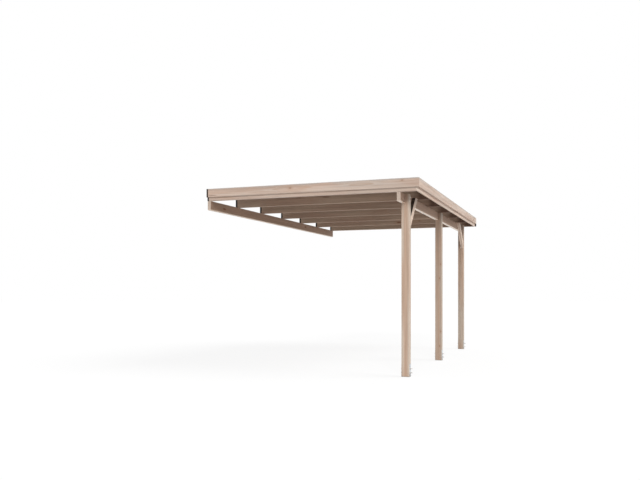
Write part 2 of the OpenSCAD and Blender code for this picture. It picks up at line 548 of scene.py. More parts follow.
def dark_end_band(tree, given):
    """Dark band of a given width, from the end of a timber that lies at From on X."""
    ragged = tree.times(tree.noise(given["Place"], (90, 90, 90), 2.0), 0.003)
    depth = tree.math("ABSOLUTE", tree.minus(tree.parts(given["Place"])["X"], given["From"]))
    edge = tree.plus(given["Width"], 0.003)
    return {"Band": tree.step(tree.plus(depth, ragged), edge, given["Width"])}


def end_grain(tree, given):
    """Sawn ends: one where a face looks along the grain, and cracks that run out from the heart."""
    along = tree.node("ShaderNodeVectorMath", {0: given["Facing"], 1: given["Grain"]},
                      operation="DOT_PRODUCT").outputs["Value"]
    sawn = tree.step(tree.math("ABSOLUTE", along), 0.5, 0.65)
    out = tree.across(given["Place"], given["Heart"])
    bend = tree.vector("MULTIPLY", given["Place"], (0.5, 0.5, 0))
    away = tree.off_middle(tree.vector("ADD", tree.vector("NORMALIZE", out), bend), (3, 3, 3))
    width = tree.over(0.0004, tree.math("MAXIMUM", tree.length(out), 0.004))
    line = tree.step(tree.over(away, width), 1.6, 0.6)
    allowed = tree.step(tree.noise(given["Place"], (45, 45, 0), 1.0), 0.54, 0.64)
    return {"Sawn": sawn, "Crack": tree.times(tree.times(line, allowed), sawn)}


def upper_face_shade(tree, given):
    """Painted shade in blotches on faces that look upwards."""
    upward = tree.step(tree.parts(given["Facing"])["Z"], 0.3, 0.6)
    blotch = tree.step(tree.noise(given["Place"], (40, 40, 40), 4.0), 0.2, 0.5, 0.75, 1.0)
    return {"Top shade": tree.times(upward, blotch)}


def weathered_top(tree, given):
    """Greying of a board's upper edge, one at its top and fading out down to a ragged line."""
    ragged = tree.step(tree.noise(given["Place"], (4, 4, 40), 3.0), 0.3, 0.7, 0.012, 0.034)
    below = tree.minus(given["Top"], tree.parts(given["Place"])["Z"])
    return {"Grey": tree.step(tree.over(below, ragged), 1.0, 0.2)}


def steel_skin(tree, given):
    """Zinc crystals as cells of uneven brightness, with cloudy dull patches."""
    draw = tree.parts(tree.cells(given["Place"], given["Scale"])["Color"])["X"]
    cloud = tree.noise(given["Place"], (40, 40, 40), 4.0)
    colour = tree.shade(given["Colour"], tree.step(draw, 0.0, 1.0, 0.86, 1.06))
    colour = tree.shade(colour, tree.step(cloud, 0.35, 0.7, 1.04, 0.84))
    rough = tree.plus(tree.step(draw, 0.0, 1.0, 0.3, 0.46), tree.step(cloud, 0.3, 0.7, 0.0, 0.18))
    return {"Colour": colour, "Rough": rough}


# Inputs and outputs of each shader group, which is named for the function that makes its inside
GROUPS = {
    softwood_figure: (("Place", "Heart", "Ring", "Seed", "Core", "Pale", "Ruddy", "Heartwood",
                       "Late"), ("Colour", "Relief")),
    scattered_knots: (("Place", "Seed", "Share"), ("Core", "Halo")),
    placed_knot: (("Place", "Centre", "Radius"), ("Core", "Halo")),
    drying_checks: (("Place", "Seed"), ("Crack",)),
    arris_wear: (("Place", "Half"), ("Worn",)),
    rising_damp: (("Place", "Ground", "Reach"), ("Damp",)),
    dark_end_band: (("Place", "From", "Width"), ("Band",)),
    end_grain: (("Place", "Heart", "Facing", "Grain"), ("Sawn", "Crack")),
    upper_face_shade: (("Place", "Facing"), ("Top shade",)),
    weathered_top: (("Place", "Top"), ("Grey",)),
    steel_skin: (("Place", "Scale", "Colour"), ("Colour", "Rough")),
}


def add_groups():
    """All the shader groups that the materials share."""
    for build, (inputs, outputs) in GROUPS.items():
        group = bpy.data.node_groups.new(build.__name__, "ShaderNodeTree")
        for way, labels in (("INPUT", inputs), ("OUTPUT", outputs)):
            for label in labels:
                kind = SOCKET_KINDS.get(label, "NodeSocketFloat")
                group.interface.new_socket(name=label, in_out=way, socket_type=kind)
        tree = Tree(group)
        made = build(tree, tree.node("NodeGroupInput").outputs)
        tree.node("NodeGroupOutput", made)


# Materials

# Share by which each effect covers the colour below it
COVER = {
    "wear": 0.3, "halo": 0.3, "scattered knot": 0.7, "placed knot": 0.4, "deck knot": 0.8,
    "sawn end": 0.7, "crack": 0.7, "grey top": 0.75, "soffit shade": 0.76, "deck shade": 0.9,
    "damp": 0.04, "top_shade": 0.9, "dull zinc": 0.5, "bitumen": 0.85,
}
# First seed of the pattern of each kind of timber
SEEDS = {"beam": 1.0, "post": 4.0, "front rafter": 8.0, "rafter": 9.0, "brace": 20.0, "board": 40.0,
         "deck": 60.0, "deck knots": 61.0}
# Tones of rubbed edges against the pale wood, and of cracks against the knots
WORN_TONE, CRACK_TONE = 1.2, 0.5
# What a sawn end adds to the roughness and what a crack takes off the relief
SAWN_ROUGH, CRACK_DEPTH = 0.15, 2.0
# Depths of the bumps
TIMBER_BUMP, DECK_BUMP, FELT_BUMP = 0.0007, 0.0006, 0.0012
# Stretch on X over which the painted shade of the overhang sets in on the wood, before and after the
# place that is given
SHADE_BEFORE, SHADE_AFTER = 0.04, 0.08
# Z of the normal where the gloss of an underside starts and where it is whole
GLOSS_START, GLOSS_WHOLE = -0.5, -0.8
# Heights over the ground to which damp reaches in wood and on steel
WOOD_DAMP, STEEL_DAMP = 0.1, 0.03


def empty_tree(owner):
    """Cleared shader tree of a material or a world."""
    owner.use_nodes = True
    owner.node_tree.nodes.clear()
    return Tree(owner.node_tree)


def new_material(name):
    """Material whose tree holds only its Principled shader and the output."""
    material = bpy.data.materials.new(name)
    tree = empty_tree(material)
    shader = tree.node("ShaderNodeBsdfPrincipled")
    tree.node("ShaderNodeOutputMaterial", {"Surface": shader.outputs[0]})
    return material, tree, shader


def coat(tree, shader, colour, rough, height=None, depth=0.0, strength=0.5):
    """Feeds a shader its colour, its roughness and, where a height is given, its bumps."""
    tree.feed(shader.inputs["Base Color"], colour)
    tree.feed(shader.inputs["Roughness"], rough)
    if height is not None:
        given = {"Strength": strength, "Distance": depth, "Height": height}
        tree.feed(shader.inputs["Normal"], tree.node("ShaderNodeBump", given).outputs[0])


def grain_place(tree, centre, axis, tilt=0.0):
    """Object coordinates from the middle of a piece, turned so that the grain runs along Z."""
    place = tree.vector("SUBTRACT", tree.object_place(), centre)
    if tilt:
        given = {"Vector": place, "Angle": tilt}
        place = tree.node("ShaderNodeVectorRotate", given, rotation_type="X_AXIS").outputs[0]
    parts = tree.parts(place)
    given = {label: parts[index] for label, index in zip("XYZ", GRAIN_ORDER[axis])}
    return tree.node("ShaderNodeCombineXYZ", given).outputs[0]


def wood_figure(tree, place, heart, seed, wood, core=0.0, inner=None):
    """Colour and relief of softwood, with the ring width and the dark colours of the settings."""
    colours = bpy.context.scene.carport_colours
    return tree.group("softwood_figure", {
        "Place": place, "Heart": heart, "Ring": bpy.context.scene.carport_sizes.ring_width,
        "Seed": seed, "Core": core, "Pale": wood[0], "Ruddy": wood[1],
        "Heartwood": inner or colours.heartwood, "Late": colours.late_wood})


def wood_rough(tree, figure):
    """Roughness of planed wood, lower on the hard late wood."""
    return tree.step(figure["Relief"], 0.1, 0.9, 0.72, 0.58)


def wood_material(name, centre, half, axis, seed, wood, heart, core=0.0, inner=None, tilt=0.0,
                  knots=(), share=0.3, seals=(), dark_from=None, top=None, gloss=0.0, damp=False,
                  shaded_tops=False):
    """Planed softwood whose grain runs along one axis of a piece.

    wood is its pale and its ruddy colour, core is the radius of the heartwood round the heart and
    inner its colour, knots lists (place, radius) in the CAD frame, share is the part of the cells
    that hold a knot, seals lists (place on X, width) of dark bands at the ends, dark_from is the
    place on X past which the wood is darkened by painted shade of the overhang, top is the height of
    an upper edge that has gone grey, gloss is taken off the roughness of the sheltered underside,
    damp adds the darkening over the ground and dirty adds painted shade on upper faces.
    """
    colours = bpy.context.scene.carport_colours
    material, tree, shader = new_material(name)
    place = grain_place(tree, centre, axis, tilt)
    order = list(GRAIN_ORDER[axis])
    figure = wood_figure(tree, place, heart, seed, wood, core, inner)
    scattered = tree.group("scattered_knots", {"Place": place, "Seed": seed, "Share": share})
    knot, halo = tree.times(scattered["Core"], COVER["scattered knot"]), scattered["Halo"]
    for point, radius in knots:
        where = tuple((np.array(point) - np.array(centre))[order])
        placed = tree.group("placed_knot", {"Place": place, "Centre": where, "Radius": radius})
        knot = tree.math("MAXIMUM", knot, tree.times(placed["Core"], COVER["placed knot"]))
        halo = tree.math("MAXIMUM", halo, placed["Halo"])
    facing = tree.node("ShaderNodeNewGeometry").outputs["True Normal"]
    grain = {"X": (1, 0, 0), "Y": (0, math.cos(tilt), -math.sin(tilt)), "Z": (0, 0, 1)}[axis]
    given = {"Place": place, "Heart": heart, "Facing": facing, "Grain": grain}
    ends = tree.group("end_grain", given)
    checks = tree.group("drying_checks", {"Place": place, "Seed": seed})["Crack"]
    crack = tree.plus(tree.times(checks, tree.minus(1.0, ends["Sawn"])), ends["Crack"])
    worn = tree.group("arris_wear", {"Place": place, "Half": tuple(np.array(half)[order])})["Worn"]
    colour = tree.cover(figure["Colour"], toned(wood[0], WORN_TONE), worn, COVER["wear"])
    colour = tree.cover(colour, colours.late_wood, halo, COVER["halo"])
    colour = tree.mix(knot, colour, colours.knot)
    colour = tree.cover(colour, colours.sawn_end, ends["Sawn"], COVER["sawn end"])
    colour = tree.cover(colour, toned(colours.knot, CRACK_TONE), crack, COVER["crack"])
    rough = tree.plus(wood_rough(tree, figure), tree.times(ends["Sawn"], SAWN_ROUGH))
    if gloss:
        upward = tree.parts(facing)["Z"]
        rough = tree.minus(rough, tree.step(upward, GLOSS_START, GLOSS_WHOLE, 0.0, gloss))
    in_frame = tree.object_place()
    if top:
        grey = tree.group("weathered_top", {"Place": in_frame, "Top": top})["Grey"]
        colour = tree.cover(colour, colours.weathered, grey, COVER["grey top"])
    # Painted shade of the overhang on the wood past the given place on X
    if dark_from:
        past = tree.step(tree.parts(in_frame)["X"], dark_from - SHADE_BEFORE, dark_from + SHADE_AFTER,
                         0.0, COVER["soffit shade"])
        colour = tree.mix(past, colour, colours.soffit_shade, "MULTIPLY")
    if damp:
        given = {"Place": in_frame, "Ground": GROUND, "Reach": WOOD_DAMP}
        colour = tree.cover(colour, colours.knot, tree.group("rising_damp", given)["Damp"],
                            COVER["damp"])
    # Painted shade in blotches on the faces that look upwards
    if shaded_tops:
        top_shade = tree.group("upper_face_shade", {"Place": in_frame, "Facing": facing})["Top shade"]
        colour = tree.cover(colour, colours.dark_end_and_shade, top_shade, COVER["top_shade"])
    for end, width in seals:
        given = {"Place": in_frame, "From": end, "Width": width}
        colour = tree.mix(tree.group("dark_end_band", given)["Band"], colour, colours.dark_end_and_shade)
    height = tree.minus(figure["Relief"], tree.times(crack, CRACK_DEPTH))
    coat(tree, shader, colour, rough, height, TIMBER_BUMP)
    shader.inputs["Specular IOR Level"].default_value = 0.3 + 0.6 * gloss
    return material


def steel_material(name, colour, crystals, metallic, dull=None):
    """Zinc on steel, with so many crystals to a metre and, where given, a dull colour low down."""
    material, tree, shader = new_material(name)
    place = tree.object_place()
    skin = tree.group("steel_skin", {"Place": place, "Scale": crystals, "Colour": colour})
    shown = skin["Colour"]
    if dull is not None:
        given = {"Place": place, "Ground": GROUND, "Reach": STEEL_DAMP}
        damp = tree.group("rising_damp", given)["Damp"]
        shown = tree.cover(shown, dull, damp, COVER["dull zinc"])
    coat(tree, shader, shown, skin["Rough"])
    shader.inputs["Metallic"].default_value = metallic
    return material


def fixing_material():
    """Dull plated steel of bolts, screws and nails, made once."""
    colour = bpy.context.scene.carport_colours.bolt
    return (bpy.data.materials.get("plated_steel")
            or steel_material("plated_steel", colour, crystals=400.0, metallic=0.9))


def dress(node, material):
    """Puts a material on a CAD node."""
    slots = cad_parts[node].data.materials
    slots.clear()
    slots.append(material)


def heart_draw(rng, near, far, angle=None):
    """Place of a timber's heart, at a drawn distance and angle from the middle of its section."""
    angle = rng.uniform(0, 2 * np.pi) if angle is None else angle
    reach = rng.uniform(near, far)
    return (reach * math.cos(angle), reach * math.sin(angle), 0.0)


# Operators

class CARPORT_OT_timbers(bpy.types.Operator):
    """Give posts, beams, braces and rafters planed softwood with the grain along their length"""

    bl_idname = "carport.timbers"
    bl_label = "Finish the timbers"

    # Depth of the pale sapwood under each beam, which paints light on the underside while the darker
    # heartwood above it paints shade on the sides, and what is taken off its underside's roughness
    LIT_UNDERSIDES = {"wall_beam": (0.006, 0.15), "eave_beam": (0.0015, 0.34)}
    # Tone of each post and radius of its ruddy core. Other tones are given or drawn between two
    POST_WOOD = {"front_post": (1.0, 0.029), "middle_post": (0.86, 0.024), "rear_post": (0.86, 0.0)}
    FRONT_RAFTER_TONE = 0.975
    TONES = (0.93, 1.07)
    # Distance of the heart from the middle of a section: above a beam's, towards a post's front
    BEAM_HEART = 0.075
    POST_HEART = 0.03
    POST_HEART_ANGLE = -1.37
    # Nearest and farthest draw of that distance for rafters and braces
    RAFTER_HEART = (0.03, 0.08)
    BRACE_HEART = (0.03, 0.06)
    # Small knots of the middle post, as (distance in from its outer edge, height over the ground)
    KNOTS = ((0.01, 1.451), (0.027, 1.24), (0.01, 0.437), (0.027, 0.219))
    KNOT_RADIUS = 0.011

    def execute(self, context):
        colours, sizes = context.scene.carport_colours, context.scene.carport_sizes
        rng = np.random.default_rng(sizes.seed)
        lit_underside_wood = (colours.lit_underside_pale, colours.lit_underside_ruddy)
        post = (colours.post_pale, colours.post_ruddy)
        front = (colours.fascia_pale, colours.fascia_ruddy)
        # Partly painted shade: the rafters under the roof get darker wood than the front rafter,
        # which gets the fascia wood
        rafter = (colours.rafter_pale, colours.rafter_ruddy)
        # Beams: pale sapwood only on the underside as painted light, darker heartwood above it as
        # painted shade on the sides
        for number, (node, (lit_layer_depth, gloss)) in enumerate(self.LIT_UNDERSIDES.items()):
            low, high = corners(node)
            self.straight((node,), "Y", lit_underside_wood, rng, (self.BEAM_HEART, self.BEAM_HEART),
                          SEEDS["beam"] + number, tone=1.0, heart_angle=0.0, gloss=gloss,
                          core=self.BEAM_HEART + (high[2] - low[2]) / 2 - lit_layer_depth)
        for number, (node, (tone, core)) in enumerate(self.POST_WOOD.items()):
            self.straight((node,), "Z", post, rng, (self.POST_HEART, self.POST_HEART),
                          SEEDS["post"] + number, tone, self.POST_HEART_ANGLE, core=core,
                          share=0.1, damp=True,
                          inner=toned(colours.post_ruddy, tone), knots=self.post_knots(node))
        self.straight(RAFTERS[:1], "X", front, rng, self.RAFTER_HEART, SEEDS["front rafter"],
                      self.FRONT_RAFTER_TONE, seals=((0.0, sizes.board_dark_band),))
        # Painted shade of the overhang on the rafters outside the eave beam
        self.straight(RAFTERS[1:], "X", rafter, rng, self.RAFTER_HEART, SEEDS["rafter"], share=0.16,
                      seals=((0.0, sizes.rafter_dark_band),), dark_from=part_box("eave_beam")[1].x)
        self.braces((colours.brace_pale, colours.brace_ruddy), rng)
        return {"FINISHED"}

    def straight(self, nodes, axis, wood, rng, heart_reach, seed, tone=None, heart_angle=None,
                 **extras):
        """Timbers that run along one axis. Tone and the angle of the heart are given or drawn."""
        for number, node in enumerate(nodes):
            low, high = corners(node)
            shade = rng.uniform(*self.TONES) if tone is None else tone
            dress(node, wood_material(
                f"timber_{node}", tuple((low + high) / 2), (high - low) / 2, axis, seed + number,
                [toned(colour, shade) for colour in wood],
                heart_draw(rng, *heart_reach, heart_angle), **extras))

    def post_knots(self, node):
        """Small knots up the front of the middle post, near its outer edge."""
        if node != "middle_post":
            return ()
        low, high = corners(node)
        return tuple(((high[0] - inward, low[1], GROUND + height), self.KNOT_RADIUS)
                     for inward, height in self.KNOTS)

    def braces(self, wood, rng):
        """Braces with the grain along their slope.

        The middle of a brace's box lies on its lower edge, so half its width is added across.
        """
        for number, (node, way) in enumerate(BRACES.items()):
            low, high = corners(node)
            slope = math.atan2(high[2] - low[2], high[1] - low[1])
            across = np.array((0.0, -way * math.sin(slope), math.cos(slope)))
            half = np.array(((high[0] - low[0]) / 2, 1.0, BRACE_WIDTH / 2))
            # The braces get painted shade on their upper faces
            dress(node, wood_material(
                f"timber_{node}", tuple((low + high) / 2 + BRACE_WIDTH / 2 * across), half, "Y",
                SEEDS["brace"] + number, wood, heart_draw(rng, *self.BRACE_HEART),
                tilt=-way * slope, shaded_tops=True))


class CARPORT_OT_fascias(bpy.types.Operator):
    """Give the fascia boards and the eave board planed softwood with knots"""

    bl_idname = "carport.fascias"
    bl_label = "Finish the fascia boards"

    # Tones of the boards along the eave; the eave board's tone is raised as painted light that lifts
    # the shade under the fascia's lip. Those of the others are drawn between two
    EAVE_TONES = {"eave_fascia": 0.96, "eave_board": 1.22}
    TONES = (0.97, 1.03)
    # Nearest and farthest draw of the heart's distance from the middle of a board
    HEART = (0.05, 0.09)
    # Knots that show on the front board, as (X, Z, radius)
    FRONT_KNOTS = ((1.184, 0.168, 0.014), (2.616, 0.19, 0.011))

    def execute(self, context):
        colours, sizes = context.scene.carport_colours, context.scene.carport_sizes
        rng = np.random.default_rng(sizes.seed + 1)
        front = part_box("front_fascia")[0].y
        shown = {"front_fascia": [((x, front, z), radius) for x, z, radius in self.FRONT_KNOTS]}
        wood = (colours.fascia_pale, colours.fascia_ruddy)
        for number, (node, axis) in enumerate({**FASCIAS, "eave_board": "Y"}.items()):
            low, high = corners(node)
            shade = self.EAVE_TONES.get(node) or rng.uniform(*self.TONES)
            dress(node, wood_material(
                f"board_{node}", tuple((low + high) / 2), (high - low) / 2, axis,
                SEEDS["board"] + number, [toned(colour, shade) for colour in wood],
                heart_draw(rng, *self.HEART), knots=shown.get(node, ()), share=0.22,
                seals=[(end, sizes.board_dark_band) for end in self.dark_band_ends(node)],
                top=high[2] if node in FASCIAS else None))
        return {"FINISHED"}

    def dark_band_ends(self, node):
        """The wall ends of the front and rear board, and the eave end of the rear one."""
        ends = {"front_fascia": (0.0,), "rear_fascia": (0.0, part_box("rear_fascia")[1].x)}
        return ends.get(node, ())


class CARPORT_OT_anchors(bpy.types.Operator):
    """Give the post anchors galvanised steel with zinc crystals"""

    bl_idname = "carport.anchors"
    bl_label = "Finish the post anchors"

    def execute(self, context):
        colours = context.scene.carport_colours
        material = steel_material("galvanised_steel", colours.zinc, crystals=110.0, metallic=0.85,
                                  dull=colours.dull_zinc)
        for node in ANCHORS:
            dress(node, material)
        return {"FINISHED"}


class CARPORT_OT_deck(bpy.types.Operator):
    """Lay grooved boards along the carport in place of the deck"""

    bl_idname = "carport.deck"
    bl_label = "Lay the roof boards"

    # Half of the gap between two boards
    GAP = 0.0006

    def execute(self, context):
        sizes = context.scene.carport_sizes
        low, high = corners("roof_deck")
        count = round((high[0] - low[0]) / sizes.board_cover)
        laid = self.boards(low, high, count, sizes.board_groove)
        piece = new_piece("deck_boards", *laid, self.material(context), "deck_wood")
        self.mark_boards(piece.data, low, high, count, sizes.seed)
        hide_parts("roof_deck")
        return {"FINISHED"}

    def boards(self, low, high, count, groove):
        """A board's outline in XZ, with its lower edges cut off for the joint, carried along Y."""
        wide, thick, gap = (high[0] - low[0]) / count, high[2] - low[2], self.GAP
        outline = np.array((
            (gap, groove), (groove + gap, 0), (wide - groove - gap, 0),
            (wide - gap, groove), (wide - gap, thick), (gap, thick)))
        grids = np.zeros((count, 2, len(outline), 3))
        grids[..., 0] = low[0] + outline[:, 0] + np.arange(count)[:, None, None] * wide
        grids[..., 1] = np.array((low[1], high[1]))[:, None]
        grids[..., 2] = low[2] + outline[:, 1]
        return closed_rows(grids)

    def mark_boards(self, mesh, low, high, count, seed):
        """Each point carries the place of its board's heart and the board's tone."""
        rng = np.random.default_rng(seed + 2)
        per_board = len(mesh.vertices) // count
        middle = low[0] + (np.arange(count) + 0.5) * (high[0] - low[0]) / count
        hearts = np.stack((middle + rng.uniform(-0.05, 0.05, count), rng.uniform(-9, 9, count),
                           low[2] - rng.uniform(0.02, 0.08, count)), -1)
        mark_points(mesh, "board_heart", "FLOAT_VECTOR", "vector", np.repeat(hearts, per_board, 0))
        mark_points(mesh, "board_tone", "FLOAT", "value", np.repeat(rng.random(count), per_board))

    def material(self, context):
        """Softwood of a drawn tone on each board, darkened all over by painted shade, with scattered
        knots.
        """
        colours = context.scene.carport_colours
        material, tree, shader = new_material("deck_boards")
        heart = tree.node("ShaderNodeAttribute", attribute_name="board_heart").outputs["Vector"]
        tone = tree.node("ShaderNodeAttribute", attribute_name="board_tone").outputs["Fac"]
        place = grain_place(tree, heart, "Y")
        wood = (colours.fascia_pale, colours.fascia_ruddy)
        figure = wood_figure(tree, place, (0, 0, 0), SEEDS["deck"], wood)
        given = {"Place": place, "Seed": SEEDS["deck knots"], "Share": 0.3}
        knots = tree.group("scattered_knots", given)
        colour = tree.shade(figure["Colour"], tree.step(tone, 0.0, 1.0, 0.8, 1.1))
        # Painted shade: the whole deck is darkened as if it were in the roof's shade
        colour = tree.mix(COVER["deck shade"], colour, colours.soffit_shade, "MULTIPLY")
        colour = tree.cover(colour, colours.late_wood, knots["Halo"], COVER["halo"])
        colour = tree.cover(colour, colours.knot, knots["Core"], COVER["deck knot"])
        coat(tree, shader, colour, wood_rough(tree, figure), figure["Relief"], DECK_BUMP)
        return material


class CARPORT_OT_felt(bpy.types.Operator):
    """Lay lapped strips of felt on the boards, with nails along the laps"""

    bl_idname = "carport.felt"
    bl_label = "Lay the felt"

    # Points across a strip and along it
    ACROSS = 50
    STATIONS = 140
    # Distance within which a lap falls off past the edge of the strip below
    LAP_FALL = 0.03
    # Distances of the rows of nails from the eave edge of a strip and from its two ends
    EDGE_ROW = 0.025
    END_ROW = 0.02
    # First and last place of the nails in those rows, from the roof's own edges
    EDGE_ROW_SPAN = (0.03, 0.02)
    END_ROW_SPAN = (0.05, 0.04)
    # Flat head of a nail on its shank
    NAIL = ((-0.003, 0.002, 0), (-0.0002, 0.002, 0), (0.0, 0.005, 0), (0.0009, 0.0047, 0),
            (0.0012, 0.003, 0))

    def execute(self, context):
        sizes = context.scene.carport_sizes
        low, high = corners("roof_felt")
        laid = self.strips(low, high, sizes)
        piece = new_piece("felt_strips", *laid, self.material(context), "roofing_felt")
        self.mark_edges(piece.data, low, high, sizes)
        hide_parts("roof_felt")
        self.nails(low, high, sizes)
        return {"FINISHED"}

    def edges(self, low, high, sizes):
        """Eave and wall edge of each strip, with the same lap between all of them."""
        run = high[0] - low[0]
        count = math.ceil(run / sizes.felt_roll)
        step = (run - sizes.felt_roll) / (count - 1)
        eave = high[0] - np.arange(count) * step
        return eave, eave - sizes.felt_roll

    def waves(self, x, y, sizes):
        """Mean of six sine waves with drawn directions, lengths and phases, from 0 to the lift."""
        rng = np.random.default_rng(sizes.seed + 3)
        heading = rng.uniform(0, np.pi, 6)
        pace = 2 * np.pi / rng.uniform(0.35, 1.6, 6)
        phase = rng.uniform(0, 2 * np.pi, 6)
        along = x[..., None] * np.cos(heading) + y[..., None] * np.sin(heading)
        return sizes.felt_lift * (0.5 + 0.5 * np.sin(along * pace + phase).mean(-1))

    def strips(self, low, high, sizes):
        """Each strip's section, out along its top and back along its underside, carried along Y.

        Height = deck + waves(x, y) + lap(x) + thickness on the top side, where the lap is one
        thickness over the strip below and falls off smoothly past that strip's edge.
        """
        eave, wall = self.edges(low, high, sizes)
        x = eave[:, None] + (wall - eave)[:, None] * np.linspace(0, 1, self.ACROSS)
        below = np.concatenate(([high[0] + 1], wall[:-1]))[:, None]
        fall = np.clip((x - (below - self.LAP_FALL)) / self.LAP_FALL, 0, 1)
        lapped = np.arange(len(eave))[:, None] > 0
        lap = np.where(lapped, fall * fall * (3 - 2 * fall), 0) * sizes.felt_thick
        y = np.linspace(low[1], high[1], self.STATIONS)
        grid_x, grid_y = np.broadcast_arrays(x[:, None, :], y[None, :, None])
        bottom = low[2] + self.waves(grid_x, grid_y, sizes) + lap[:, None, :]
        top = np.stack((grid_x, grid_y, bottom + sizes.felt_thick), -1)
        underside = np.stack((grid_x, grid_y, bottom), -1)[:, :, ::-1]
        return closed_rows(np.concatenate((top, underside), 2))

    def mark_edges(self, mesh, low, high, sizes):
        """Each point carries its distance from the eave edge of its own strip."""
        eave, _ = self.edges(low, high, sizes)
        places = np.zeros(3 * len(mesh.vertices), np.float32)
        mesh.vertices.foreach_get("co", places)
        own = np.repeat(eave, len(mesh.vertices) // len(eave))
        mark_points(mesh, "from_edge", "FLOAT", "value", own - places[0::3])

    def nails(self, low, high, sizes):
        """Flat round heads in rows along the eave edge of each lap and along the two ends."""
        eave, _ = self.edges(low, high, sizes)
        start, stop = self.EDGE_ROW_SPAN
        along = np.arange(low[1] + start, high[1] - stop, sizes.nail_pitch)
        rows = [np.stack((np.full_like(along, edge - self.EDGE_ROW), along), -1) for edge in eave]
        start, stop = self.END_ROW_SPAN
        out = np.arange(low[0] + start, high[0] - stop, sizes.nail_pitch)
        rows += [np.stack((out, np.full_like(out, end)), -1)
                 for end in (low[1] + self.END_ROW, high[1] - self.END_ROW)]
        x, y = np.concatenate(rows).T
        lapped = (np.abs(x[:, None] - (eave[1:] - self.EDGE_ROW)) < 0.001).any(1)
        z = low[2] + sizes.felt_thick * (1 + lapped) + self.waves(x, y, sizes)
        new_fixings("felt_nails", turned(self.NAIL, 10, (0, 0, 1), np.column_stack((x, y, z))))

    def material(self, context):
        """Mineral granules as fine cells, with clouds, streaks and bitumen along the eave edges."""
        colours = context.scene.carport_colours
        material, tree, shader = new_material("mineral_felt")
        place = tree.object_place()
        grains = tree.cells(place, 520.0)
        draw = tree.parts(grains["Color"])["X"]
        cloud = tree.noise(place, (1.4, 1.4, 1.4), 5.0)
        streak = tree.noise(place, (26, 1.1, 1), 3.0)
        colour = tree.shade(colours.felt, tree.step(draw, 0.0, 1.0, 0.7, 1.35))
        colour = tree.shade(colour, tree.step(cloud, 0.3, 0.7, 0.84, 1.14))
        colour = tree.shade(colour, tree.step(streak, 0.3, 0.7, 0.93, 1.06))
        from_edge = tree.node("ShaderNodeAttribute", attribute_name="from_edge").outputs["Fac"]
        ragged = tree.step(tree.noise(place, (14, 14, 14), 3.0), 0.3, 0.7, 0.002, 0.014)
        bleed = tree.step(tree.over(from_edge, ragged), 1.1, 0.7)
        colour = tree.cover(colour, colours.bitumen, bleed, COVER["bitumen"])
        rough = tree.step(draw, 0.0, 1.0, 0.95, 0.75)
        coat(tree, shader, colour, rough, grains["Distance"], FELT_BUMP, strength=0.6)
        return material


class CARPORT_OT_bolts(bpy.types.Operator):
    """Put two bolts through each post anchor"""

    bl_idname = "carport.bolts"
    bl_label = "Add the anchor bolts"

    # Heights of the bolt holes over the ground
    HOLES = (0.05, 0.1)
    # Radius to a corner of the head and the nut, and of a washer, in radii of the shank
    CORNER = 1.95
    WASHER = 2.3
    # Thickness of a washer, the head and the nut, and the width of their eased edges
    WASHER_THICK, HEAD, NUT, EASE = 0.002, 0.0065, 0.0085, 0.0012
    # Pitch and depth of the thread
    PITCH, THREAD = 0.0015, 0.0007
    # What is taken off the shank's radius before the tip, and the share that is left at it
    TIP_EASE, TIP_SHARE = 0.0004, 0.75

    def execute(self, context):
        boxes = [corners(node) for node in ANCHORS]
        places = [(low[0], (low[1] + high[1]) / 2, low[2] + hole)
                  for low, high in boxes for hole in self.HOLES]
        through = boxes[0][1][0] - boxes[0][0][0]
        profile = self.profile(through, context.scene.carport_sizes)
        new_fixings("anchor_bolts", turned(profile, 36, (1, 0, 0), places))
        return {"FINISHED"}

    def profile(self, through, sizes):
        """Six-sided head, washer, shank, washer, nut and a thread of round ridges, in a row."""
        shank = sizes.bolt_across / 2
        corner, washer, eased = self.CORNER * shank, self.WASHER * shank, self.EASE
        head = -self.WASHER_THICK - self.HEAD
        seat = through + self.WASHER_THICK
        nut, tip = seat + self.NUT, through + sizes.bolt_reach
        ridges = np.arange(nut + self.PITCH / 2, tip - self.PITCH, self.PITCH / 2)
        return [
            (head, corner - 2 * eased, 0), (head + eased, corner, 1),
            (-self.WASHER_THICK, corner, 1), (-self.WASHER_THICK, washer, 0), (0, washer, 0),
            (0, shank, 0), (through, shank, 0), (through, washer, 0), (seat, washer, 0),
            (seat, corner, 1), (nut - eased, corner, 1), (nut, corner - 2 * eased, 0),
            (nut, shank, 0),
            *((x, shank - self.THREAD * (i % 2), 0) for i, x in enumerate(ridges)),
            (tip - self.PITCH / 2, shank - self.TIP_EASE, 0), (tip, shank * self.TIP_SHARE, 0)]


